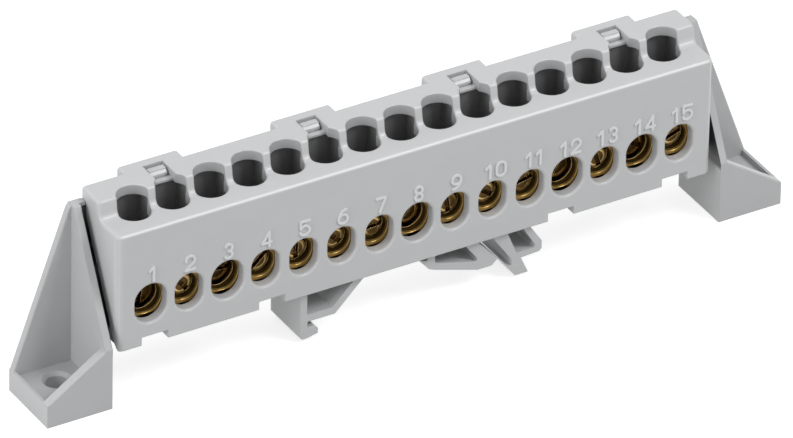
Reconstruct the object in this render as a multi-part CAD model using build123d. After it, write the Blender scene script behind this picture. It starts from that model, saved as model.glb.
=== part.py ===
from build123d import *
import os

os.makedirs("parts", exist_ok=True)

# A 15-way phase busbar: a brass bar in a two-piece moulded housing, with a clip for a
# 35 mm rail underneath and a screw-down foot at each end. Sizes are in millimetres.
# The model is worked out from the housing's front face (y = 0, the inside is towards +y),
# its lower edge (z = 0) and its middle (x = 0), and is moved to its own frame at the end:
# the origin lies under the middle of the whole part, on the surface that the feet stand on.

# Terminals
ways = 15
pitch = 6.5
end_margin = 5.75
wide_ways = (1, 3, 8, 12, 14)
latch_ways = (2, 6, 10, 14)

# Housing
depth = 11.3
front_height = 20.1
riser_height = 2.9
riser_start = 5.45
riser_run = 0.6
front_wall = 1.7
back_wall = 1.5
top_wall = 1.7
end_wall = 2.4
rim_wall = 0.85
front_corner_r = 1.2
back_corner_r = 0.7
top_edge_r = 0.5
riser_foot_r = 1.2
riser_top_r = 0.6
fit_gap = 0.1

# Wire entries and the cells below them
wire_axis_y = 5.55
wire_entry_r = 2.6
wire_entry_flare = 0.05
entry_edge_r = 0.3
cell_wall = 1.0
cell_front_y = 2.3
cell_back_wall = 0.8

# Screw openings in the front wall
screw_axis_z = 6.95
opening_r = 2.4
opening_height = 6.2
wide_opening_r = 2.7
wide_opening_height = 6.6
opening_edge_r = 0.45

# Brass bar
bar_height = 6.0
bar_depth = 7.8
bar_end = 3.2
bar_edge_r = 0.3
bar_play = 0.05
wire_hole_r = 2.4
bore_bottom = 1.4
bore_chamfer = 0.25

# Clamping screws
screw_r = 2.0
wide_screw_r = 2.4
thread_clearance = 0.08
screw_length = 4.0
screw_rest_y = 2.6
wide_screw_rest_y = 3.7
screw_chamfer = 0.35
slot_width = 0.8
slot_depth = 1.2
first_slot_turn = 35.0
slot_turn_step = 47.0

# Raised numerals over the screw openings
digit_height = 2.8
digit_width = 1.95
one_width = 1.1
digit_gap = 0.7
single_shift = -0.05
double_shift = 0.25
digit_stroke = 0.42
digit_relief = 0.22
digit_root = 0.3
digit_foot_z = 10.75
digit_waist = 0.21
four_stem = 1.17
two_tail_angle = 35
open_ring_angle = 150

# Back lugs and the latch windows over them
lug_width = 10.3
lug_depth = 2.1
lug_edge_r = 0.6
window_width = 3.4
window_reach = 0.2
ledge_front = 0.6
ledge_back = 0.3
ledge_thickness = 0.4
pocket_width = 6.8
pocket_wall = 1.3
pocket_roof = 2.4

# Latch arms on the base
arm_width = 6.2
arm_thickness = 1.0
latch_neck_drop = 0.7
latch_head_width = 2.8
latch_head_height = 1.35
latch_reach = 0.4
latch_ramp = 0.55

# Base tray
tray_lift = 1.5
tray_thickness = 1.4
rib_thickness = 1.2
clip_front_y = 1.0
clip_bay_left = -19.9
clip_bay_right = 20.6

# Notches in the housing's lower front edge
notch_outer_x = 44.85
notch_inner_x = 24.9
notch_width = 4.5
notch_height = 1.4

# Rail clip
rail_flange = 1.0
rail_play = 0.05
rail_left = -18.2
rail_width = 35.25
rail_top_z = -5.55
clip_wall = 1.2
clip_corner_r = 0.35
clip_keel_wall = 1.3
hook_wall = 1.3
hook_drop = 2.9
hook_corner = 0.4
hook_lip = 1.8
hook_lip_height = 0.6
hook_boat = 4.7
frame_left = 3.7
frame_keel_left = 11.2
frame_keel_right = 13.6
frame_knee = 14.6
frame_rise = 2.35
frame_heel = 0.95
frame_head = 8.6
frame_toe_wall = 3.0
gusset_left = -1.6
gusset_mid = 0.8
gusset_right = 2.7
gusset_lift = 0.3
gusset_knee = 0.4
gusset_wall = 1.7
gusset_nose = 0.6
arm_root = 5.25
arm_lip = 0.6
arm_toe_left = 0.65
arm_toe_right = 2.95
arm_toe_drop = 3.05
arm_ledge = 1.65
arm_loop = 5.25
arm_loop_head = 1.25
arm_loop_rise = 1.75
arm_root_wall = 3.6
arm_edge_wall = 0.9
arm_keel_wall = 0.85
arm_head_wall = 0.6
arm_loop_lift = 0.3

# Feet
foot_length = 10.95
foot_gap = 1.2
foot_front_y = -0.8
foot_back_setback = 0.4
foot_drop = 9.0
foot_floor = 3.0
foot_rim = 3.85
foot_lip = 0.5
foot_front_wall = 1.6
foot_back_wall = 1.2
foot_end_wall = 1.2
foot_front_top_z = 1.4
foot_back_top_z = 21.2
foot_top_run_y = 1.9
foot_top_run_x = 1.5
foot_top_r = 0.9
foot_edge_r = 0.25
foot_hole_r = 1.8
foot_sink_r = 2.35
foot_hole_x = 5.4
foot_hole_y = 6.8

# Slide-on joint between a foot and the housing's end
recess_depth = 0.9
recess_setback = 1.85
recess_top_z = 20.9
recess_back_strip = 1.7
groove_depth = 0.9
tongue_y = 7.6
tongue_neck = 3.0
tongue_head = 4.2
tongue_foot_z = 0.3
tongue_top_z = 12.0

# Places worked out from the sizes above
half_length = (ways - 1) * pitch / 2 + end_margin
upper_height = front_height + riser_height
chamber_end = half_length - end_wall
chamber_back_y = depth - back_wall
cell_back_y = chamber_back_y - cell_back_wall
window_back_y = depth + window_reach
foot_back_y = depth - foot_back_setback
recess_limit_y = depth - recess_back_strip
bar_front_y = front_wall + fit_gap
bar_foot_z = screw_axis_z - bar_height / 2
bar_top_z = screw_axis_z + bar_height / 2
cell_foot_z = bar_top_z + bar_play
lug_back_y = depth + lug_depth
pocket_back_y = lug_back_y - pocket_wall
pocket_top_z = upper_height - pocket_roof
ceiling_z = upper_height - top_wall
roof_z = front_height - top_wall
tray_top_z = tray_lift + tray_thickness
over = 1.0


def way_x(way):
    """The place of a terminal along the bar."""
    return (way - (ways + 1) / 2) * pitch


def block(x0, x1, y0, y1, z0, z1):
    """A box between two corners."""
    return Pos((x0 + x1) / 2, (y0 + y1) / 2, (z0 + z1) / 2) * Box(x1 - x0, y1 - y0, z1 - z0)


def upright(radius, x, y, z0, z1):
    """A cylinder standing along z."""
    return Pos(x, y, (z0 + z1) / 2) * Cylinder(radius, z1 - z0)


def level(radius, x, z, y0, y1):
    """A cylinder lying along y."""
    return Pos(x, (y0 + y1) / 2, z) * Rot(90, 0, 0) * Cylinder(radius, y1 - y0)


def plate_xz(points, y0, y1, corner_r=0.0):
    """An outline in the xz plane, extruded from y0 to y1."""
    face = make_face(Plane.XZ * Polyline(*points, close=True))
    if corner_r:
        face = fillet(face.vertices(), corner_r)
    return Pos(0, y0, 0) * extrude(face, amount=y1 - y0, dir=(0, 1, 0))


def plate_yz(points, x0, x1):
    """An outline in the yz plane, extruded from x0 to x1."""
    face = make_face(Plane.YZ * Polyline(*points, close=True))
    return Pos(x0, 0, 0) * extrude(face, amount=x1 - x0, dir=(1, 0, 0))


def opening_radius(way):
    """Half the width of a terminal's screw opening."""
    return wide_opening_r if way in wide_ways else opening_r


def opening_span(way):
    """The height of a terminal's screw opening."""
    return wide_opening_height if way in wide_ways else opening_height


def screw_radius(way):
    """The outer radius of a terminal's screw."""
    return wide_screw_r if way in wide_ways else screw_r


def screw_front(way):
    """How far behind the front face a screw rests."""
    return wide_screw_rest_y if way in wide_ways else screw_rest_y


def housing_profile():
    """The housing's section: front wall, low front level, riser and upper back level."""
    riser_end = riser_start + riser_run
    outline = Polyline(
        (0, 0), (0, front_height), (riser_start, front_height),
        (riser_end, upper_height), (depth, upper_height), (depth, 0), close=True,
    )
    face = make_face(Plane.YZ * outline)
    for y, z, radius in ((riser_start, front_height, riser_foot_r), (riser_end, upper_height, riser_top_r)):
        corner = face.vertices().sort_by_distance((0, y, z))[0]
        face = fillet(corner, radius)
    return face


def housing_body():
    """The housing's outer form with rounded corners and top edges, and the lugs at its back."""
    body = Pos(-half_length, 0, 0) * extrude(housing_profile(), amount=2 * half_length, dir=(1, 0, 0))
    body = fillet(body.edges().filter_by(Axis.Z).group_by(Axis.Y)[0], front_corner_r)
    body = fillet(body.edges().filter_by(Axis.Z).group_by(Axis.Y)[-1], back_corner_r)
    body = fillet(body.edges().filter_by(on_top_outline), top_edge_r)
    for way in latch_ways:
        body += lug(way)
    return body


def on_top_outline(edge):
    """Whether an edge lies between the top surface and the outer walls."""
    middle = edge @ 0.5
    high = middle.Z > front_height - fit_gap
    walls = (middle.Y < front_corner_r, middle.Y > depth - back_corner_r, abs(middle.X) > half_length - fit_gap)
    return high and any(walls)


def lug(way):
    """A bulge of the back wall, level with the upper top face."""
    x = way_x(way)
    low, high = x - lug_width / 2, x + lug_width / 2
    solid = block(low, high, depth - 2 * lug_edge_r, lug_back_y, 0, upper_height)
    back = solid.edges().filter_by(Axis.Z).group_by(Axis.Y)[-1]
    top = solid.edges().group_by(Axis.Z)[-1].sort_by(Axis.Y)[1:]
    return fillet(back + top, lug_edge_r)


def wire_entry(way):
    """The round entry that a wire goes in by, down to the low level's roof."""
    return upright(wire_entry_r, way_x(way), wire_axis_y, roof_z - over, upper_height + over)


def on_entry_rim(edge):
    """Whether an edge is part of a wire entry's rim in the top surface."""
    middle = edge @ 0.5
    way = round(middle.X / pitch + (ways + 1) / 2)
    reach = ((middle.X - way_x(way)) ** 2 + (middle.Y - wire_axis_y) ** 2) ** 0.5
    return middle.Z > front_height - fit_gap and abs(reach - wire_entry_r) < fit_gap / 2


def cell(way):
    """The space that leads a wire down to the bar, and the entry's wider part above the low level."""
    x = way_x(way)
    half = (pitch - cell_wall) / 2
    low, high = x - half, x + half
    space = block(low, high, cell_front_y, cell_back_y, cell_foot_z - over, roof_z)
    space += block(low, high, riser_start + riser_run, cell_back_y, cell_foot_z - over, ceiling_z)
    flare = wire_entry_r + wire_entry_flare
    return space + upright(flare, x, wire_axis_y, front_height, upper_height + over)


def screw_opening(way):
    """The tall opening in the front wall that a driver goes through."""
    x = way_x(way)
    radius = opening_radius(way)
    rise = (opening_span(way) - 2 * radius) / 2
    outline = Plane.XZ * Pos(x, screw_axis_z) * SlotOverall(2 * (rise + radius), 2 * radius, rotation=90)
    return Pos(0, -over, 0) * extrude(outline, amount=front_wall + 2 * over, dir=(0, 1, 0))


def latch_window(way):
    """The slot in the top where a latch head shows, and the pocket that its arm stands in."""
    x = way_x(way)
    low, high = x - window_width / 2, x + window_width / 2
    top = upper_height + over
    half = pocket_width / 2
    ledge_front_y = cell_back_y - ledge_front
    ledge_back_y = cell_back_y + ledge_back
    cut = block(low, high, wire_axis_y, ledge_front_y, front_height, top)
    cut += block(low, high, ledge_front_y - over, ledge_back_y, ceiling_z + ledge_thickness, top)
    cut += block(low, high, ledge_back_y, chamber_back_y + fit_gap, ceiling_z, top)
    cut += block(low, high, chamber_back_y, window_back_y, pocket_top_z - over, top)
    return cut + block(x - half, x + half, chamber_back_y, pocket_back_y, -over, pocket_top_z)


def end_recess(side):
    """The recess in an end face behind a foot's end wall, and the groove for the foot's tongue."""
    floor_x = half_length - recess_depth
    slope = foot_slope()
    start_y = foot_front_y + recess_setback
    start_z = foot_front_top_z
    turn_z = start_z + slope * (recess_limit_y - start_y)
    low_y = start_y - (start_z + over) / slope
    outline = [
        (low_y, -over), (recess_limit_y, turn_z), (recess_limit_y, recess_top_z),
        (depth + lug_depth, recess_top_z), (depth + lug_depth, -over),
    ]
    recess = plate_yz(outline, floor_x, half_length + over)
    groove = tongue_section(fit_gap, floor_x - groove_depth, half_length, -over)
    recess += extrude(groove, amount=tongue_top_z + fit_gap + over, dir=(0, 0, 1))
    return recess if side > 0 else mirror(recess, about=Plane.YZ)


def foot_slope():
    """Rise over run of the slanted front edge of a foot's end wall."""
    run = foot_back_y - foot_top_run_y - foot_front_y
    return (foot_back_top_z - foot_front_top_z) / run


def tongue_section(gap, tip_x, root_x, z):
    """The dovetail that holds a foot, drawn across the z axis at height z, larger all round by gap."""
    neck = tongue_neck / 2 + gap
    head = tongue_head / 2 + gap
    shoulder_x = half_length - recess_depth
    points = [
        (root_x, -neck), (root_x, neck), (shoulder_x, neck), (tip_x, head),
        (tip_x, -head), (shoulder_x, -neck),
    ]
    return Pos(0, tongue_y, z) * make_face(Polyline(*points, close=True))


def stroke(line):
    """A numeral's stroke with round ends, standing up from the drawing plane."""
    height = digit_relief + digit_root
    solids = [extrude(trace(line, line_width=digit_stroke), amount=height)]
    for end in (line @ 0, line @ 1):
        solids.append(Pos(end.X, end.Y, height / 2) * Cylinder(digit_stroke / 2, height))
    return solids


def digit_lines(digit):
    """Centre lines of a numeral, from its lower left corner."""
    w, h = digit_span(digit) - digit_stroke, digit_height - digit_stroke
    ring = w / 2
    top = h - ring
    small = h / 4
    bowl = h / 3
    if digit == 0:
        sides = [Line((0, ring), (0, top)), Line((w, ring), (w, top))]
        return sides + [CenterArc((ring, top), ring, 0, 180), CenterArc((ring, ring), ring, 180, 180)]
    if digit == 1:
        return [Line((w, 0), (w, h)), Line((w, h), (0, h - small))]
    if digit == 2:
        crown = CenterArc((ring, top), ring, -two_tail_angle, 180 + two_tail_angle)
        return [crown, Line(crown @ 0, (0, 0)), Line((0, 0), (w, 0))]
    if digit == 3:
        sweep = 90 + open_ring_angle
        upper = CenterArc((ring, h - small), small, -90, sweep)
        return [upper, CenterArc((ring, small), small, -open_ring_angle, sweep)]
    if digit == 4:
        stem = Line((four_stem, 0), (four_stem, h))
        return [stem, Line((four_stem, h), (0, small)), Line((0, small), (w, small))]
    if digit == 5:
        belly = CenterArc((w - bowl, bowl), bowl, -open_ring_angle, 2 * open_ring_angle)
        return [belly, Line(belly @ 1, (0, h)), Line((0, h), (w, h))]
    if digit == 6:
        back = ThreePointArc((0, ring), (digit_waist, top), (w - digit_waist, h))
        return [CenterArc((ring, ring), ring, 0, 360), back]
    if digit == 7:
        return [Line((0, h), (w, h)), Line((w, h), (small, 0))]
    if digit == 8:
        return [CenterArc((ring, small), small, 0, 360), CenterArc((ring, h - small), small, 0, 360)]
    tail = ThreePointArc((w, top), (w - digit_waist, ring), (digit_waist, 0))
    return [CenterArc((ring, top), ring, 0, 360), tail]


def digit_span(digit):
    """The width of a numeral's digit."""
    return one_width if digit == 1 else digit_width


def numeral(way):
    """The raised number over a screw opening."""
    digits = [int(mark) for mark in str(way)]
    spans = [digit_span(digit) for digit in digits]
    shift = single_shift if len(digits) == 1 else double_shift
    left = way_x(way) + shift - (sum(spans) + (len(digits) - 1) * digit_gap) / 2
    strokes = []
    for digit, span in zip(digits, spans):
        corner = Pos(left + digit_stroke / 2, digit_root, digit_foot_z + digit_stroke / 2)
        for line in digit_lines(digit):
            strokes += [corner * Rot(90, 0, 0) * solid for solid in stroke(line)]
        left += span + digit_gap
    return strokes


def cover():
    """The upper moulding: outer form, cells, openings, windows and numerals."""
    body = housing_body() - [wire_entry(way) for way in range(1, ways + 1)]
    body = fillet(body.edges().filter_by(on_entry_rim), entry_edge_r)
    chamber = block(-chamber_end, chamber_end, front_wall, chamber_back_y, -over, cell_foot_z)
    bay = block(clip_bay_left, clip_bay_right, rim_wall, chamber_back_y, -over, tray_top_z + fit_gap)
    cuts = [chamber, bay, end_recess(-1), end_recess(1)]
    for way in range(1, ways + 1):
        cuts += [cell(way), screw_opening(way)]
    for way in latch_ways:
        cuts.append(latch_window(way))
    for place in (-notch_outer_x, -notch_inner_x, notch_inner_x, notch_outer_x):
        half = notch_width / 2
        cuts.append(block(place - half, place + half, -over, front_wall + over, -over, notch_height))
    body -= cuts
    body = fillet(body.edges().filter_by(on_opening_rim), opening_edge_r)
    strokes = []
    for way in range(1, ways + 1):
        strokes += numeral(way)
    return body + strokes


def on_opening_rim(edge):
    """Whether an edge is part of a screw opening's rim in the front face."""
    middle = edge.center()
    if abs(middle.Y) > fit_gap / 2 or edge.bounding_box().size.Y > fit_gap / 2:
        return False
    return abs(middle.Z - screw_axis_z) < wide_opening_height / 2 + fit_gap and abs(middle.X) < chamber_end


def latch_arm(way):
    """A springy arm with a head that hooks over the edge below its window."""
    x = way_x(way)
    half = arm_width / 2
    half_head = latch_head_width / 2
    front = chamber_back_y + fit_gap
    back = front + arm_thickness
    neck_foot = pocket_top_z - latch_neck_drop
    head_foot = ceiling_z + fit_gap
    arm = block(x - half, x + half, front - arm_thickness, back, tray_lift, tray_top_z)
    arm += block(x - half, x + half, front, back, tray_lift, neck_foot)
    head_top = head_foot + latch_head_height
    arm += block(x - half_head, x + half_head, front, back, neck_foot - fit_gap, head_top)
    head = plate_yz([
        (back, head_foot), (front - latch_reach, head_foot), (front - latch_reach, head_top - latch_ramp),
        (front - latch_reach + latch_ramp, head_top), (back, head_top),
    ], x - half_head, x + half_head)
    return arm + head


def rail_clip():
    """The clip, extruded along the rail: fixed hook, middle frame and sprung hook."""
    y0, y1 = clip_front_y, chamber_back_y - fit_gap
    outlines = (fixed_hook(), middle_frame(), sprung_hook())
    clip = []
    for outline, windows in outlines:
        solid = plate_xz(outline, y0, y1)
        solid -= [plate_xz(window, y0 - over, y1 + over, clip_corner_r) for window in windows]
        clip.append(solid)
    return clip


def fixed_hook():
    """The hook that goes over the rail's left flange, and the sloping boat beside it."""
    root_z = tray_lift + tray_thickness / 2
    grip_z = rail_top_z - rail_flange - rail_play
    left = rail_left - hook_wall
    foot_z = rail_top_z - hook_drop
    tip = rail_left + hook_lip
    keel = rail_left + hook_boat
    outline = [
        (left, root_z), (left, foot_z + hook_corner), (left + hook_corner, foot_z), (rail_left, foot_z),
        (tip, foot_z + hook_corner), (tip, grip_z - hook_lip_height), (tip - hook_lip_height, grip_z),
        (rail_left, grip_z), (rail_left, rail_top_z), (keel, rail_top_z),
        (keel + root_z - rail_top_z, root_z),
    ]
    floor_z = rail_top_z + clip_wall
    slope_x = keel + clip_wall - clip_wall * 2 ** 0.5
    window = [
        (left + clip_wall, tray_lift), (left + clip_wall, floor_z),
        (slope_x, floor_z), (slope_x + tray_lift - floor_z, tray_lift),
    ]
    return outline, [window]


def middle_frame():
    """The frame that stands on the rail's face, with a small gusset and a large window."""
    root_z = tray_lift + tray_thickness / 2
    knee_z = rail_top_z + frame_rise
    gusset_z = -frame_heel
    outline = [
        (gusset_left, root_z), (gusset_mid, gusset_z + gusset_lift), (gusset_right, knee_z + gusset_knee),
        (frame_left, knee_z), (frame_keel_left, rail_top_z), (frame_keel_right, rail_top_z),
        (frame_knee, rail_top_z + frame_heel), (frame_head, root_z),
    ]
    window = [
        (frame_left, tray_lift), (frame_left, knee_z + clip_wall),
        (frame_knee - frame_toe_wall, rail_top_z + clip_keel_wall), (frame_head - clip_wall, tray_lift),
    ]
    notch = [
        (gusset_left + gusset_wall, tray_lift), (gusset_mid + gusset_nose, gusset_z),
        (frame_left - clip_wall, gusset_z - gusset_lift), (frame_left - clip_wall, tray_lift),
    ]
    return outline, [window, notch]


def sprung_hook():
    """The springy arm that catches the rail's right flange, with the loop for a driver's blade."""
    root_z = tray_lift + tray_thickness / 2
    edge = rail_left + rail_width
    grip_z = rail_top_z - rail_flange - rail_play
    toe_z = rail_top_z - arm_toe_drop
    loop = edge + arm_loop
    loop_z = rail_top_z + arm_loop_rise
    outline = [
        (edge - arm_root, root_z), (edge, rail_top_z), (edge, grip_z), (edge - arm_lip, grip_z),
        (edge + arm_toe_left, toe_z), (edge + arm_toe_right, toe_z),
        (edge + arm_ledge, rail_top_z - hook_corner / 2),
        (loop - hook_corner, rail_top_z), (loop, rail_top_z + hook_corner),
        (loop, loop_z), (edge + arm_loop_head, root_z),
    ]
    window = [
        (edge - arm_root + arm_root_wall, tray_lift), (edge + arm_edge_wall, rail_top_z + arm_keel_wall),
        (loop - clip_keel_wall, rail_top_z + arm_keel_wall), (loop - clip_wall, loop_z - arm_loop_lift),
        (edge + arm_loop_head - arm_head_wall, tray_lift),
    ]
    return outline, [window]


def base():
    """The tray under the bar, its ribs and latch arms, and the rail clip."""
    end = chamber_end - fit_gap
    front, back = front_wall + fit_gap, chamber_back_y - fit_gap
    body = block(-end, end, front, back, tray_lift, tray_top_z)
    left, right = clip_bay_left + fit_gap, clip_bay_right - fit_gap
    body += block(left, right, clip_front_y, back, tray_lift, tray_top_z)
    for way in range(1, ways):
        x = way_x(way) + pitch / 2
        half = rib_thickness / 2
        body += block(x - half, x + half, front, back, tray_lift, bar_foot_z - bar_play)
    for way in latch_ways:
        body += latch_arm(way)
    return body + rail_clip()


def busbar():
    """The brass bar with its wire holes and screw bores."""
    half = (ways - 1) * pitch / 2 + bar_end
    bar_back = bar_front_y + bar_depth
    bar = block(-half, half, bar_front_y, bar_back, bar_foot_z, bar_top_z)
    bar = fillet(bar.edges().filter_by(Axis.X), bar_edge_r)
    for way in range(1, ways + 1):
        x = way_x(way)
        bore = screw_radius(way) + thread_clearance
        bar -= upright(wire_hole_r, x, wire_axis_y, bar_foot_z - over, bar_top_z + over)
        bar -= level(bore, x, screw_axis_z, bar_front_y - over, bar_back - bore_bottom)
        mouth = Pos(x, bar_front_y + bore_chamfer / 2, screw_axis_z) * Rot(90, 0, 0)
        bar -= mouth * Cone(bore, bore + bore_chamfer, bore_chamfer)
    return bar


def screw(way):
    """A clamping screw at rest in its bore, with a slot turned as it was left."""
    radius = screw_radius(way)
    front = screw_front(way)
    body = Cylinder(radius, screw_length)
    body = chamfer(body.edges().filter_by(GeomType.CIRCLE), screw_chamfer)
    turn = first_slot_turn + slot_turn_step * way
    slot = Box(2 * (radius + over), slot_width, 2 * slot_depth)
    cut = Pos(0, 0, screw_length / 2) * Rot(0, 0, turn) * slot
    return Pos(way_x(way), front + screw_length / 2, screw_axis_z) * Rot(90, 0, 0) * (body - cut)


def foot():
    """The right-hand foot: floor with rim, end wall, back wall, front wall, screw hole and tongue."""
    inner = half_length + foot_gap
    outer = inner + foot_length
    sole = -foot_drop
    floor_z = sole + foot_floor
    rim_z = sole + foot_rim
    wall_x = inner + foot_end_wall
    front_wall_y = foot_front_y + foot_front_wall
    back_wall_y = foot_back_y - foot_back_wall
    body = block(inner, outer, foot_front_y, foot_back_y, sole, rim_z)
    body -= block(wall_x, outer - foot_lip, front_wall_y, back_wall_y, floor_z, rim_z + over)
    body += plate_yz([
        (foot_front_y, sole), (foot_front_y, foot_front_top_z),
        (foot_back_y - foot_top_run_y, foot_back_top_z),
        (foot_back_y, foot_back_top_z), (foot_back_y, sole),
    ], inner, wall_x)
    body += foot_web(inner + foot_top_run_x, foot_back_top_z, foot_top_r, back_wall_y, foot_back_y)
    body += foot_web(wall_x, foot_front_top_z, foot_edge_r, foot_front_y, front_wall_y)
    hole_x, hole_y = outer - foot_hole_x, foot_front_y + foot_hole_y
    body -= upright(foot_hole_r, hole_x, hole_y, sole - over, rim_z + over)
    sink = foot_sink_r - foot_hole_r
    body -= Pos(hole_x, hole_y, floor_z - sink / 2) * Cone(foot_hole_r, foot_sink_r, sink)
    recess_x = half_length - recess_depth + fit_gap
    body += block(half_length + fit_gap, wall_x, back_wall_y, foot_back_y, tongue_foot_z, foot_back_top_z)
    body += block(recess_x, wall_x, back_wall_y, foot_back_y, tongue_foot_z, recess_top_z - fit_gap)
    tip_x = recess_x - groove_depth
    tongue = tongue_section(0, tip_x, inner + foot_end_wall / 2, tongue_foot_z)
    return body + extrude(tongue, amount=tongue_top_z - tongue_foot_z, dir=(0, 0, 1))


def foot_web(shoulder_x, top_z, shoulder_r, y0, y1):
    """A foot's front or back wall, which slants down from its shoulder to the floor's outer rim."""
    inner = half_length + foot_gap
    outer = inner + foot_length
    sole = -foot_drop
    outline = [(inner, sole), (inner, top_z), (shoulder_x, top_z), (outer, sole + foot_rim), (outer, sole)]
    face = make_face(Plane.XZ * Polyline(*outline, close=True))
    shoulder = face.vertices().sort_by_distance((shoulder_x, 0, top_z))[0]
    face = fillet(shoulder, shoulder_r)
    web = Pos(0, y0, 0) * extrude(face, amount=y1 - y0, dir=(0, 1, 0))
    return fillet(web.edges().filter_by(is_slanted), foot_edge_r)


def is_slanted(edge):
    """Whether an edge is straight and runs both across and down."""
    size = edge.bounding_box().size
    return edge.geom_type == GeomType.LINE and min(size.X, size.Z) > fit_gap


def to_own_frame(shape):
    """Moves a piece from the housing's frame to the part's own."""
    middle_y = (foot_front_y + lug_back_y) / 2
    return Pos(0, -middle_y, foot_drop) * shape


pieces = {"cover": cover(), "base": base(), "busbar": busbar()}
for way in range(1, ways + 1):
    pieces[f"screw_{way:02d}"] = screw(way)
right_foot = foot()
pieces["right_foot"] = right_foot
pieces["left_foot"] = mirror(right_foot, about=Plane.YZ)
for name, shape in pieces.items():
    export_step(to_own_frame(shape), f"parts/{name}.step")
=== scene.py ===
import math

import bpy
from mathutils import Matrix, Vector


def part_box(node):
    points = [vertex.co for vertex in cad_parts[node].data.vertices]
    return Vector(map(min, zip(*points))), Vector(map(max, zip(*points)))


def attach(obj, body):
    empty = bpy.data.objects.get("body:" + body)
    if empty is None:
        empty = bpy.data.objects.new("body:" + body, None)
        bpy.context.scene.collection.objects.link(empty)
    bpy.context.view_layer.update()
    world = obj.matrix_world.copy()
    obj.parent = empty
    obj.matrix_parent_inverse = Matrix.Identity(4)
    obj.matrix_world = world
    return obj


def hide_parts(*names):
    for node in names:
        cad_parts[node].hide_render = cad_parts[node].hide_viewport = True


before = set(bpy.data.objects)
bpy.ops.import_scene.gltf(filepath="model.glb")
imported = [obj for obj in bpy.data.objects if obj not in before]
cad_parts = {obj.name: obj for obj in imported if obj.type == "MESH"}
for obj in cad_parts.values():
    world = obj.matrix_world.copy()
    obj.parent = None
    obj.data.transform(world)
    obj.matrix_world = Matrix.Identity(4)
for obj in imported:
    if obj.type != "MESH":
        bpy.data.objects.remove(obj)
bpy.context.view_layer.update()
bpy.ops.object.select_all(action="DESELECT")

MM = 0.001
WAYS = 15
PHOTO_WIDTH = 793


def node_box(node):
    """The lowest and highest corner of a carried-over node."""
    return [Vector(corner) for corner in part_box(node)]


def node_middle(node):
    low, high = node_box(node)
    return (low + high) / 2


def screw_node(way):
    """The name of a terminal's screw."""
    return f"screw_{way:02d}"


# Places on the terminal block, as in its solids
cover_low, cover_high = node_box("cover")
first_axis = node_middle(screw_node(1))
last_axis = node_middle(screw_node(WAYS))
PITCH = (last_axis.x - first_axis.x) / (WAYS - 1)
AXIS_Z = first_axis.z
NUMERAL_RELIEF = 0.22 * MM
FRONT_Y = cover_low.y + NUMERAL_RELIEF
FRONT_WALL = 1.7 * MM
BACK_Y = FRONT_Y + 11.3 * MM
BACK_SKIN = 1.2 * MM
RISER_Y = FRONT_Y + 6.1 * MM
ROOF = 1.7 * MM
HIGH_ROOF_Z = cover_high.z - ROOF
LOW_ROOF_Z = HIGH_ROOF_Z - 2.9 * MM
FRONT_TOP_Z = LOW_ROOF_Z + ROOF
END_X = cover_high.x
INNER_END_X = END_X - 2.3 * MM
ENTRY_Y = FRONT_Y + 5.55 * MM
ENTRY_REACH = 2.68 * MM
RECESS_INNER_X = END_X - 1.6 * MM
RECESS_TOP_Z = cover_low.z + 20.9 * MM
RECESS_START = 0.3 * MM
RECESS_SLOPE = 2.0
FOOT_INNER_X = END_X + 1.2 * MM
FOOT_BACK_Y = BACK_Y - 0.4 * MM
TRAY_BACK_Y = BACK_Y - 2.6 * MM
BAR_FRONT_Y = node_box("busbar")[0].y

# Sockets of the colour Mix node, which share their names with those for numbers
MIX_FIRST = 6
MIX_SECOND = 7
MIX_RESULT = 2


class Wire:
    """A shader socket that takes part in sums as a number does."""

    def __init__(self, graph, socket):
        self.graph = graph
        self.socket = socket

    def maths(self, operation, first, second=0.0):
        return self.graph.node("Math", {"operation": operation}, {0: first, 1: second})

    def __add__(self, other):
        return self.maths("ADD", self, other)

    def __radd__(self, other):
        return self.maths("ADD", other, self)

    def __sub__(self, other):
        return self.maths("SUBTRACT", self, other)

    def __rsub__(self, other):
        return self.maths("SUBTRACT", other, self)

    def __mul__(self, other):
        return self.maths("MULTIPLY", self, other)

    def __rmul__(self, other):
        return self.maths("MULTIPLY", other, self)

    def __truediv__(self, other):
        return self.maths("DIVIDE", self, other)

    def __lt__(self, other):
        return self.maths("LESS_THAN", self, other)

    def __gt__(self, other):
        return self.maths("GREATER_THAN", self, other)

    def __pow__(self, other):
        return self.maths("POWER", self, other)

    def __abs__(self):
        return self.maths("ABSOLUTE", self)


class Graph:
    """A node tree that nodes are added to."""

    def __init__(self, tree):
        self.tree = tree

    def node(self, kind, settings=None, inputs=None, output=0):
        """Adds a node with its settings first, then its sockets' values or links, and gives one output."""
        made = self.tree.nodes.new("ShaderNode" + kind)
        for name, value in (settings or {}).items():
            setattr(made, name, value)
        for socket, value in (inputs or {}).items():
            self.plug(value, made.inputs[socket])
        return Wire(self, made.outputs[output])

    def plug(self, value, socket):
        """Links a wire to a socket, or sets the socket's own value."""
        if isinstance(value, Wire):
            self.tree.links.new(value.socket, socket)
        else:
            socket.default_value = value

    def seen_directly(self):
        """One for what the camera, a mirror or a glass sees, nought for other light."""
        kinds = ("Camera", "Glossy", "Transmission")
        camera, glossy, through = [self.node("LightPath", output=f"Is {kind} Ray") for kind in kinds]
        return self.node("Math", {"operation": "MAXIMUM"}, {0: camera, 1: glossy + through})


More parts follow.
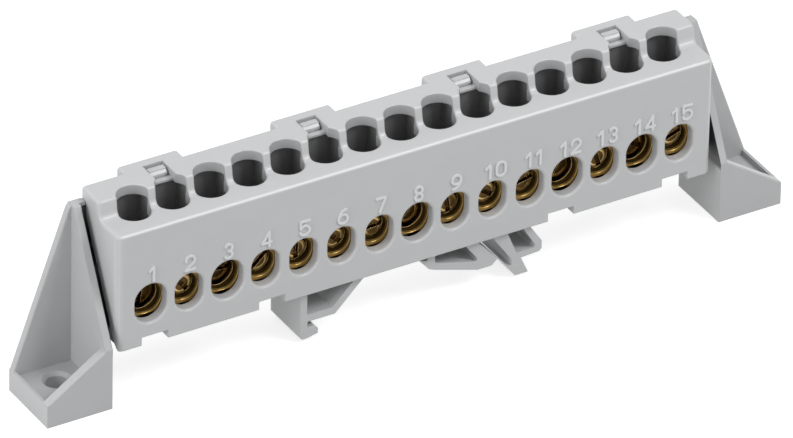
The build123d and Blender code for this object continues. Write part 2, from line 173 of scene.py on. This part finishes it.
class Finish(Graph):
    """A material in the making, with its principled shader."""

    def __init__(self, name, colour, **inputs):
        self.material = bpy.data.materials.new(name)
        self.material.use_nodes = True
        self.material.diffuse_color = colour
        super().__init__(self.material.node_tree)
        self.shader = self.tree.nodes["Principled BSDF"]
        self.give(Base_Color=colour, **inputs)

    def give(self, **inputs):
        """Sets or links sockets of the shader by name."""
        for name, value in inputs.items():
            self.plug(value, self.shader.inputs[name.replace("_", " ")])

    def place(self):
        """A point's place in the object, in metres."""
        return self.node("TexCoord", output="Object")

    def coordinates(self):
        """A point's three coordinates, in metres."""
        return [self.node("SeparateXYZ", None, {0: self.place()}, output=axis) for axis in range(3)]

    def stretched(self, scale):
        """A point's place, multiplied along each axis by its own number."""
        return self.node("Mapping", None, {"Vector": self.place(), "Scale": scale})

    def noise(self, where, scale, detail=2.0, rough=0.5):
        """Cloudy noise with about as many spots to the metre as its scale says."""
        inputs = {"Vector": where, "Scale": scale, "Detail": detail, "Roughness": rough}
        return self.node("TexNoise", None, inputs)

    def mixed(self, amount, first, second):
        """One colour turning into another."""
        inputs = {"Factor": amount, MIX_FIRST: first, MIX_SECOND: second}
        return self.node("Mix", {"data_type": "RGBA"}, inputs, output=MIX_RESULT)

    def eased(self, value, low, high):
        """Rises smoothly from nought at low to one at high."""
        inputs = {"Value": value, "From Min": low, "From Max": high}
        return self.node("MapRange", {"interpolation_type": "SMOOTHSTEP"}, inputs)

    def bump(self, height, depth, under=None):
        """The surface's direction over a relief of that depth."""
        inputs = {"Height": height, "Distance": depth}
        if under:
            inputs["Normal"] = under
        return self.node("Bump", None, inputs)

    def soft_edges(self, radius, samples=6):
        """The surface's direction with its edges rounded off."""
        return self.node("Bevel", {"samples": samples}, {"Radius": radius})

    def beside_way(self, across):
        """How far a point lies to the side of its nearest terminal."""
        steps = (across - first_axis.x) / PITCH + 0.5
        return (self.node("Math", {"operation": "FRACT"}, {0: steps}) - 0.5) * PITCH


def span(first, second):
    """The straight distance that two offsets at right angles make."""
    return (first * first + second * second) ** 0.5


def shade(level):
    """The linear value of a level written from 0 to 255."""
    return ((level / 255 + 0.055) / 1.055) ** 2.4


def tint(red, green, blue, lift=0):
    """A colour of those written levels, lighter or darker by lift."""
    return shade(red + lift), shade(green + lift), shade(blue + lift), 1


# Plastics
HOUSING_GREY = (196, 197, 198)
CLIP_GREY = (193, 194, 195)
FOOT_GREY = (185, 186, 187)
MOTTLE_LIFT = 4
# Painted highlight: the raised numerals are lighter
NUMERAL_HIGHLIGHT_LIFT = 26
# Painted highlight along the front's upper edge and its ends
EDGE_HIGHLIGHT_LIFT = 20
# Painted shade on the walls of the wire entries
ENTRY_SHADE_LIFT = -14
# Painted shade inside the cells
CELL_PAINTED_SHADE = tint(126, 126, 126)
# Painted shade in the end slits, on the feet beside them and on the clip's tray
DEEP_PAINTED_SHADE = tint(58, 58, 58)
MOULDING_EDGE = 0.14 * MM
MOULDING_GLOSS = 0.45
GRAIN_DEPTH = 0.012 * MM
RIPPLE_DEPTH = 0.03 * MM
CLOUD_STRETCH = (1.0, 1.0, 2.5)
CLOUD_SHARE = 0.65
SATIN = 0.25
GRAIN_DULLING = 0.1
END_EDGE_SHARE = 0.6
CELL_FADE = 0.5 * MM
TRAY_RISE = 0.3 * MM
FLANGE_MARGIN = 0.3 * MM

# Where the painted highlights and painted shade on the plastic start to change and where the change ends
EDGE_FRONT_FADE = (FRONT_Y + 0.15 * MM, FRONT_Y + 0.5 * MM)
EDGE_TOP_FADE = (FRONT_TOP_Z - 0.5 * MM, FRONT_TOP_Z - 0.15 * MM)
EDGE_END_FADE = (END_X - 0.7 * MM, END_X - 0.3 * MM)
FRONT_WALL_FADE = (FRONT_Y + FRONT_WALL, FRONT_Y + FRONT_WALL + CELL_FADE)
BACK_SKIN_FADE = (BACK_Y - BACK_SKIN, BACK_Y - BACK_SKIN / 2)
LOW_ROOF_FADE = (LOW_ROOF_Z - CELL_FADE, LOW_ROOF_Z)
HIGH_ROOF_FADE = (HIGH_ROOF_Z - CELL_FADE, HIGH_ROOF_Z)
RECESS_FADE = (END_X - 0.6 * MM, END_X - 0.3 * MM)
NUMERAL_FADE = (0.03 * MM, NUMERAL_RELIEF)
FOOT_FADE = (cover_low.z, cover_low.z + MM)
FOOT_FACE_X = FOOT_INNER_X + 0.05 * MM
FOOT_FACE_BACK_Y = FOOT_BACK_Y - 0.1 * MM


def moulded_plastic(name, colour, cloud_scale):
    """Light grey moulding: spark-eroded grain, faint flow clouds, an even satin and soft edges."""
    finish = Finish(name, tint(*colour), Specular_IOR_Level=MOULDING_GLOSS)
    cloud = finish.noise(finish.stretched(CLOUD_STRETCH), scale=cloud_scale, detail=3.0)
    mottle = finish.noise(finish.place(), scale=420.0)
    tone = cloud * CLOUD_SHARE + mottle * (1 - CLOUD_SHARE)
    ground = finish.mixed(tone, tint(*colour, -MOTTLE_LIFT), tint(*colour, MOTTLE_LIFT))
    grain = finish.noise(finish.place(), scale=5200.0, detail=3.0, rough=0.6)
    ripple = finish.noise(finish.place(), scale=240.0, detail=1.0)
    finish.give(Roughness=SATIN + grain * GRAIN_DULLING)
    relief = finish.bump(grain, GRAIN_DEPTH, finish.soft_edges(MOULDING_EDGE))
    finish.give(Normal=finish.bump(ripple, RIPPLE_DEPTH, relief))
    return finish, ground


def in_entries(finish, across, along):
    """One on the walls of the wire entries, which are darkened as painted shade."""
    reach = span(finish.beside_way(across), along - ENTRY_Y)
    return (reach < ENTRY_REACH) * (abs(across) < last_axis.x + ENTRY_REACH)


def on_front_edges(finish, across, along, up):
    """One along the front's upper edge, and less along its two ends, where a highlight is painted."""
    near_front = 1.0 - finish.eased(along, *EDGE_FRONT_FADE)
    near_top = finish.eased(up, *EDGE_TOP_FADE)
    near_end = finish.eased(abs(across), *EDGE_END_FADE)
    return near_front * (near_top + (1.0 - near_top) * near_end * END_EDGE_SHARE)


def in_cells(finish, across, along, up):
    """One inside the cells, whose roof is higher in the back half; there the moulding is darkened as
    painted shade.
    """
    behind_front = finish.eased(along, *FRONT_WALL_FADE)
    before_back = 1.0 - finish.eased(along, *BACK_SKIN_FADE)
    under_low = 1.0 - finish.eased(up, *LOW_ROOF_FADE)
    under_high = (1.0 - finish.eased(up, *HIGH_ROOF_FADE)) * (along > RISER_Y)
    between_ends = abs(across) < INNER_END_X
    return behind_front * before_back * between_ends * (under_low + (1.0 - under_low) * under_high)


def in_slits(finish, across, along, up):
    """One in the recess of each end, where a foot stands close to the housing and shade is painted."""
    sunk = 1.0 - finish.eased(abs(across), *RECESS_FADE)
    beyond_cells = abs(across) > RECESS_INNER_X
    behind_slope = up - cover_low.z < RECESS_SLOPE * (along - FRONT_Y - RECESS_START)
    beside_foot = behind_slope * (along < FOOT_BACK_Y) * (up < RECESS_TOP_Z)
    return sunk * beyond_cells * beside_foot


def housing_plastic():
    """The housing's moulding, with painted highlights on the numerals and front edges and painted shade in
    the entries, cells and slits.
    """
    finish, ground = moulded_plastic("housing_plastic", HOUSING_GREY, 70.0)
    across, along, up = finish.coordinates()
    # Painted highlight on the raised numerals
    raised = finish.eased(FRONT_Y - along, *NUMERAL_FADE)
    for mask, tone in (
        (in_entries(finish, across, along), tint(*HOUSING_GREY, ENTRY_SHADE_LIFT)),
        (on_front_edges(finish, across, along, up), tint(*HOUSING_GREY, EDGE_HIGHLIGHT_LIFT)),
        (in_cells(finish, across, along, up), CELL_PAINTED_SHADE),
        (in_slits(finish, across, along, up), DEEP_PAINTED_SHADE),
        (raised, tint(*HOUSING_GREY, NUMERAL_HIGHLIGHT_LIFT)),
    ):
        ground = finish.mixed(mask, ground, tone)
    finish.give(Base_Color=ground)
    return finish.material


def clip_plastic():
    """The lower moulding, dark where its tray lies in the cells' shade."""
    finish, ground = moulded_plastic("clip_plastic", CLIP_GREY, 77.0)
    _, along, up = finish.coordinates()
    in_shade = (up > cover_low.z + TRAY_RISE) * (along < TRAY_BACK_Y)
    finish.give(Base_Color=finish.mixed(in_shade, ground, DEEP_PAINTED_SHADE))
    return finish.material


def foot_plastic():
    """The feet's moulding, with painted shade where it faces the housing across a narrow slit."""
    finish, ground = moulded_plastic("foot_plastic", FOOT_GREY, 83.0)
    across, along, up = finish.coordinates()
    facing = (abs(across) < FOOT_FACE_X) * (along < FOOT_FACE_BACK_Y)
    beside_housing = finish.eased(up, *FOOT_FADE) * (up < RECESS_TOP_Z - FLANGE_MARGIN)
    finish.give(Base_Color=finish.mixed(facing * beside_housing, ground, DEEP_PAINTED_SHADE))
    return finish.material


# Brass, from the darkest tarnish and painted shade to the brightest painted highlight
# Browned and tarnished screw brass, darkened further as painted shade for the faces deep in the openings
BROWNED_AND_SHADED = (0.050, 0.027, 0.008, 1)
# Painted shade in the bar's bores: thread roots, mouth and crests
THREAD_ROOT_SHADE = (0.07, 0.043, 0.012, 1)
BORE_MOUTH_SHADE = (0.085, 0.055, 0.016, 1)
TARNISHED_AND_SHADED = (0.12, 0.072, 0.022, 1)
# Painted highlight round the screws' rims
RIM_HIGHLIGHT_BRASS = (0.20, 0.125, 0.036, 1)
THREAD_CREST_SHADE = (0.21, 0.135, 0.04, 1)
DRAWN_DARK = (0.22, 0.13, 0.035, 1)
WORN = (0.36, 0.22, 0.065, 1)
DRAWN_LIGHT = (0.50, 0.33, 0.11, 1)
# Painted highlight: the bores' line and the screws' ring and edges
HIGHLIGHT_BRASS = (0.66, 0.47, 0.21, 1)

# The bar
DRAWN_STRETCH = (60.0, 2600.0, 2600.0)
DRAWN_DEPTH = 0.008 * MM
DRAWN_SHEEN = 0.26
LINE_DULLING = 0.16
BORE_DULLING = 0.18
BORE_PITCH = 0.8 * MM
BORE_REACH = 2.7 * MM
BORE_START = 0.05 * MM
BORE_RELIEF = 0.05 * MM
MOUTH_FADE = (0.22 * MM, 0.45 * MM)
# A painted highlight line in each bore, at this depth
HIGHLIGHT_LINE_PLACE = 1.4 * MM
HIGHLIGHT_LINE_FADE = (0.08 * MM, 0.24 * MM)
HIGHLIGHT_LINE_RISE = 3.0

# The screws
SCREW_EDGE = 0.12 * MM
STAIN_DEPTH = 0.006 * MM
TURNED_SHEEN = 0.2
STAIN_DULLING = 0.14
# A painted highlight in a patchy ring on each screw face, and painted glints along its edges
HIGHLIGHT_RING_INSET = 0.75 * MM
HIGHLIGHT_RING_WIDTH = 0.17 * MM
HIGHLIGHT_RING_FADE = (0.3 * HIGHLIGHT_RING_WIDTH, HIGHLIGHT_RING_WIDTH)
HIGHLIGHT_RING_PATCHES = (0.36, 0.56)
EDGE_GLINT = (0.01, 0.12)


def bar_brass():
    """Drawn brass, browned, with lengthwise drawing lines and threads cut into its screw bores, which are
    darkened as painted shade and carry a painted highlight line.
    """
    finish = Finish("bar_brass", WORN, Metallic=1.0)
    lines = finish.noise(finish.stretched(DRAWN_STRETCH), scale=1.0, detail=4.0)
    stain = finish.noise(finish.place(), scale=420.0, detail=3.0)
    across, along, up = finish.coordinates()
    sideways = finish.beside_way(across)
    rise = up - AXIS_Z
    depth = along - BAR_FRONT_Y
    in_bore = span(sideways, rise) < BORE_REACH
    deep = (depth > BORE_START) * in_bore
    turn = finish.node("Math", {"operation": "ARCTAN2"}, {0: rise, 1: sideways})
    phase = along / BORE_PITCH * math.tau + turn
    thread = finish.node("Math", {"operation": "SINE"}, {0: phase}) * 0.5 + 0.5
    # A painted highlight line round each bore
    line = (1.0 - finish.eased(abs(depth - HIGHLIGHT_LINE_PLACE), *HIGHLIGHT_LINE_FADE)) * in_bore
    face = finish.mixed(stain, DRAWN_DARK, DRAWN_LIGHT)
    # Painted shade in the bores, darkest at the thread roots and the mouth
    cut = finish.mixed(thread * 0.5 + stain * 0.5, THREAD_ROOT_SHADE, THREAD_CREST_SHADE)
    cut = finish.mixed(finish.eased(depth, *MOUTH_FADE), BORE_MOUTH_SHADE, cut)
    cut = finish.mixed(line, cut, HIGHLIGHT_BRASS)
    finish.give(Base_Color=finish.mixed(deep, face, cut))
    finish.give(Roughness=DRAWN_SHEEN + lines * LINE_DULLING + deep * BORE_DULLING)
    drawn = finish.bump(lines, DRAWN_DEPTH)
    finish.give(Normal=finish.bump(thread * deep + line * HIGHLIGHT_LINE_RISE, BORE_RELIEF, drawn))
    return finish.material


def screw_brass(name, radius):
    """Turned brass, browned and darkened as painted shade, with a painted highlight round its rim, in a
    patchy ring and along its edges.
    """
    finish = Finish(name, WORN, Metallic=1.0)
    stain = finish.noise(finish.place(), scale=900.0, detail=3.0)
    across, _, up = finish.coordinates()
    reach = span(finish.beside_way(across), up - AXIS_Z)
    highlight_ring_reach = radius - HIGHLIGHT_RING_INSET
    rim = finish.eased(reach, highlight_ring_reach, highlight_ring_reach + HIGHLIGHT_RING_WIDTH)
    # Tarnish with painted shade over the screw face, and a painted highlight round its rim
    tarnish_and_shade = finish.mixed(rim, finish.mixed(stain, BROWNED_AND_SHADED, TARNISHED_AND_SHADED), RIM_HIGHLIGHT_BRASS)
    edge = finish.soft_edges(SCREW_EDGE)
    flat = finish.node("NewGeometry", output="Normal")
    bend = finish.node("VectorMath", {"operation": "DOT_PRODUCT"}, {0: edge, 1: flat}, output="Value")
    # Painted glints along the screw's edges, and a painted highlight in a patchy ring
    glinting_edges = finish.eased(1.0 - bend, *EDGE_GLINT)
    ring = 1.0 - finish.eased(abs(reach - highlight_ring_reach), *HIGHLIGHT_RING_FADE)
    highlight_patches = finish.eased(finish.noise(finish.place(), scale=330.0, detail=1.0), *HIGHLIGHT_RING_PATCHES)
    finish.give(Base_Color=finish.mixed(glinting_edges + (1.0 - glinting_edges) * ring * highlight_patches, tarnish_and_shade, HIGHLIGHT_BRASS))
    finish.give(Roughness=TURNED_SHEEN + stain * STAIN_DULLING)
    finish.give(Normal=finish.bump(stain, STAIN_DEPTH, edge))
    return finish.material


def dress(material, *nodes):
    """Gives carried-over nodes their material."""
    for node in nodes:
        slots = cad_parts[node].data.materials
        slots.clear()
        slots.append(material)


dress(housing_plastic(), "cover")
dress(clip_plastic(), "base")
dress(foot_plastic(), "left_foot", "right_foot")
dress(bar_brass(), "busbar")


# Clamping screws with real threads
THREAD_PITCH = 0.75 * MM
THREAD_DEPTH = 0.3 * MM
THREAD_STEPS = 48
THREAD_FLANK = 0.4 * THREAD_PITCH
THREAD_CREST_WIDTH = 0.1 * THREAD_PITCH
SPARE_TURNS = 2
SCREW_CHAMFER = 0.35 * MM
SLOT_WIDTH = 0.8 * MM
SLOT_DEPTH = 0.8 * MM
FIRST_SLOT_TURN = 35.0
SLOT_TURN_STEP = 47.0
ALLOWANCE = 0.01 * MM
WELD = 0.001 * MM
CUT_TOLERANCE = 0.0001 * MM
SMOOTH_ANGLE = math.radians(30)


def apply_modifier(thing, kind, **settings):
    """Adds a modifier to the active object and applies it."""
    modifier = thing.modifiers.new(kind.lower(), kind)
    for name, value in settings.items():
        setattr(modifier, name, value)
    bpy.ops.object.modifier_apply(modifier=modifier.name)


def activate(thing):
    bpy.ops.object.select_all(action="DESELECT")
    thing.select_set(True)
    bpy.context.view_layer.objects.active = thing


def drawn_line(points):
    """Edges drawn from point to point, as a new object."""
    bpy.ops.mesh.primitive_plane_add(size=MM, location=(0, 0, 0))
    line = bpy.context.object
    bpy.ops.object.mode_set(mode="EDIT")
    bpy.ops.mesh.select_all(action="SELECT")
    bpy.ops.mesh.merge(type="CENTER")
    bpy.ops.transform.translate(value=points[0])
    for start, end in zip(points, points[1:]):
        step = Vector(end) - Vector(start)
        bpy.ops.mesh.extrude_vertices_move(TRANSFORM_OT_translate={"value": step})
    bpy.ops.object.mode_set(mode="OBJECT")
    return line


def threaded_rod(radius, length):
    """A rod with a helical thread, cut off square at both ends, standing on the origin."""
    root = radius - THREAD_DEPTH
    foot = -SPARE_TURNS * THREAD_PITCH
    crest = foot + THREAD_FLANK
    crest_end = crest + THREAD_CREST_WIDTH
    rod = drawn_line([
        (root, 0, foot), (radius, 0, crest), (radius, 0, crest_end),
        (root, 0, crest_end + THREAD_FLANK), (root, 0, foot + THREAD_PITCH),
    ])
    apply_modifier(
        rod, "SCREW", steps=THREAD_STEPS, render_steps=THREAD_STEPS, screw_offset=THREAD_PITCH,
        iterations=math.ceil(length / THREAD_PITCH) + 2 * SPARE_TURNS, use_smooth_shade=False,
    )
    bpy.ops.object.mode_set(mode="EDIT")
    bpy.ops.mesh.select_all(action="SELECT")
    bpy.ops.mesh.remove_doubles(threshold=WELD)
    for height, outward in ((0, -1), (length, 1)):
        bpy.ops.mesh.select_all(action="SELECT")
        bpy.ops.mesh.bisect(
            plane_co=(0, 0, height), plane_no=(0, 0, outward), use_fill=True, clear_outer=True,
            threshold=CUT_TOLERANCE,
        )
    bpy.ops.mesh.select_all(action="SELECT")
    bpy.ops.mesh.normals_make_consistent(inside=False)
    bpy.ops.object.mode_set(mode="OBJECT")
    return rod


def chamfered_blank(radius, length):
    """The blank that a rod is turned down to: a cylinder with both ends chamfered."""
    bpy.ops.mesh.primitive_cylinder_add(
        vertices=2 * THREAD_STEPS, radius=radius + ALLOWANCE, depth=length + 2 * ALLOWANCE,
        location=(0, 0, length / 2),
    )
    blank = bpy.context.object
    bpy.ops.object.transform_apply(location=True, rotation=False, scale=False)
    bpy.ops.object.mode_set(mode="EDIT")
    bpy.ops.mesh.select_mode(type="FACE")
    bpy.ops.mesh.select_all(action="DESELECT")
    bpy.ops.object.mode_set(mode="OBJECT")
    for face in blank.data.polygons:
        face.select = abs(face.normal.z) > 0.5
    bpy.ops.object.mode_set(mode="EDIT")
    bpy.ops.mesh.bevel(offset=SCREW_CHAMFER + 2 * ALLOWANCE, segments=1, affect="EDGES")
    bpy.ops.mesh.select_mode(type="VERT")
    bpy.ops.object.mode_set(mode="OBJECT")
    return blank


def slot_blade(radius, length):
    """The block that a driver's slot is cut with."""
    bpy.ops.mesh.primitive_cube_add(size=1, location=(0, 0, length))
    blade = bpy.context.object
    blade.scale = (2 * radius + MM, SLOT_WIDTH, 2 * SLOT_DEPTH)
    bpy.ops.object.transform_apply(location=True, rotation=False, scale=True)
    return blade


def screw_form(radius, length):
    """A slotted, threaded grub screw that stands on the origin with its slot on top."""
    rod = threaded_rod(radius, length)
    tools = [(chamfered_blank(radius, length), "INTERSECT"), (slot_blade(radius, length), "DIFFERENCE")]
    for tool, operation in tools:
        activate(rod)
        apply_modifier(rod, "BOOLEAN", object=tool, operation=operation, solver="EXACT")
        bpy.data.objects.remove(tool)
    activate(rod)
    bpy.ops.object.shade_smooth_by_angle(angle=SMOOTH_ANGLE)
    return rod


def seat_screw(form, finish, way):
    """A copy of the form, turned and moved to a terminal's bore, slot to the front."""
    node = screw_node(way)
    screw = bpy.data.objects.new(f"threaded_{node}", form.data.copy())
    bpy.context.scene.collection.objects.link(screw)
    middle = node_middle(node)
    back_y = node_box(node)[1].y
    place = Matrix.Translation((middle.x, back_y, middle.z))
    turn = math.radians(FIRST_SLOT_TURN + SLOT_TURN_STEP * way)
    screw.matrix_world = place @ Matrix.Rotation(math.pi / 2, 4, "X") @ Matrix.Rotation(turn, 4, "Z")
    activate(screw)
    bpy.ops.object.transform_apply(location=True, rotation=True, scale=True)
    screw.data.materials.clear()
    screw.data.materials.append(finish)
    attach(screw, node)
    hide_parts(node)
    screw.select_set(False)


def make_screws():
    """One form and one finish for each size of screw, and a copy of the form in every terminal."""
    forms = {}
    for way in range(1, WAYS + 1):
        low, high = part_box(screw_node(way))
        radius = (high[0] - low[0]) / 2
        size = round(radius / MM, 2)
        if size not in forms:
            finish = screw_brass(f"screw_brass_{len(forms) + 1}", radius)
            forms[size] = (screw_form(radius, high[1] - low[1]), finish)
        seat_screw(*forms[size], way)
    for form, _ in forms.values():
        bpy.data.objects.remove(form)


make_screws()


# Camera, as in the photograph: a long lens from the front left, a little tilted
LOOK_AZIMUTH = math.radians(-30.99)
LOOK_ELEVATION = math.radians(32.93)
LOOK_ROLL = math.radians(1.2)
LOOK_DISTANCE = 2021.87 * MM
LOOK_AT = Vector((0.0, -6.3, 19.0)) * MM
FOCAL_PIXELS = 13604.64
SENSOR = 36.0
AIM_RIGHT = -3.26 * MM
AIM_UP = -2.04 * MM
NEAREST = 0.1
FARTHEST = 10.0


def set_camera():
    across = Vector((math.cos(LOOK_AZIMUTH), math.sin(LOOK_AZIMUTH), 0))
    flat = math.cos(LOOK_ELEVATION)
    back = Vector((
        math.sin(LOOK_AZIMUTH) * flat, -math.cos(LOOK_AZIMUTH) * flat, math.sin(LOOK_ELEVATION)
    ))
    up = back.cross(across)
    right = math.cos(LOOK_ROLL) * across + math.sin(LOOK_ROLL) * up
    above = math.cos(LOOK_ROLL) * up - math.sin(LOOK_ROLL) * across
    stand = LOOK_AT + LOOK_DISTANCE * back
    aim = LOOK_AT + AIM_RIGHT * right + AIM_UP * above
    back = (stand - aim).normalized()
    right = above.cross(back).normalized()
    above = back.cross(right)
    lens = bpy.data.cameras.new("camera")
    lens.sensor_width = SENSOR
    lens.lens = FOCAL_PIXELS / PHOTO_WIDTH * SENSOR
    lens.clip_start = NEAREST
    lens.clip_end = FARTHEST
    camera = bpy.data.objects.new("camera", lens)
    bpy.context.scene.collection.objects.link(camera)
    camera.matrix_world = Matrix.Translation(stand) @ Matrix((right, above, back)).transposed().to_4x4()
    bpy.context.scene.camera = camera


# Studio: a pale floor, four soft lamps (overhead, right, left and back) and an even surround
FLOOR_SIZE = 3.0
FLOOR_DROP = 0.02 * MM
FLOOR_PAPER = (0.5, 0.5, 0.5, 1)
FLOOR_GLOW = 0.72
WHITE = (1, 1, 1, 1)
SURROUND = 0.5
LAMPS = {
    "overhead": {"way": (-0.25, 0.05, 0.95), "size": 1.0, "power": 1.6},
    "right": {"way": (0.43, -0.52, 0.74), "size": 0.3, "power": 3.3},
    "left": {"way": (-0.95, -0.15, 0.25), "size": 0.5, "power": 3.1},
    "back": {"way": (-0.2, 0.92, 0.3), "size": 0.8, "power": 1.2},
}
LAMP_DISTANCE = 0.9


def set_floor():
    """Paper that takes the object's shadow, and that the camera sees brightened to near white."""
    bpy.ops.mesh.primitive_plane_add(size=FLOOR_SIZE, location=(0, 0, -FLOOR_DROP))
    floor = bpy.context.object
    floor.name = "floor"
    finish = Finish("floor_paper", FLOOR_PAPER, Roughness=0.9, Specular_IOR_Level=0.0)
    dark = finish.node("Emission", None, {"Strength": 0.0})
    glow = finish.node("Emission", None, {"Strength": FLOOR_GLOW})
    seen = finish.node("MixShader", None, {0: finish.seen_directly(), 1: dark, 2: glow})
    lit = Wire(finish, finish.shader.outputs[0])
    both = finish.node("AddShader", None, {0: lit, 1: seen})
    finish.plug(both, finish.tree.nodes["Material Output"].inputs["Surface"])
    floor.data.materials.append(finish.material)
    floor.select_set(False)


def set_lamp(name, way, size, power):
    """A square soft lamp that shines on the object from that way."""
    lamp = bpy.data.lights.new(name, "AREA")
    lamp.size = size
    lamp.energy = power
    holder = bpy.data.objects.new(name, lamp)
    bpy.context.scene.collection.objects.link(holder)
    way = Vector(way).normalized()
    holder.location = LOOK_AT + way * LAMP_DISTANCE
    holder.rotation_euler = way.to_track_quat("Z", "Y").to_euler()


def set_surround():
    """A soft even light from all sides, which the camera sees as white."""
    world = bpy.data.worlds.new("studio")
    bpy.context.scene.world = world
    world.use_nodes = True
    graph = Graph(world.node_tree)
    soft = graph.node("Background", None, {"Color": WHITE, "Strength": SURROUND})
    white = graph.node("Background", None, {"Color": WHITE, "Strength": 1.0})
    both = graph.node("MixShader", None, {0: graph.seen_directly(), 1: soft, 2: white})
    graph.plug(both, graph.tree.nodes["World Output"].inputs["Surface"])


set_camera()
set_floor()
for name, lamp in LAMPS.items():
    set_lamp(name, **lamp)
set_surround()
bpy.context.scene.view_settings.view_transform = "Standard"
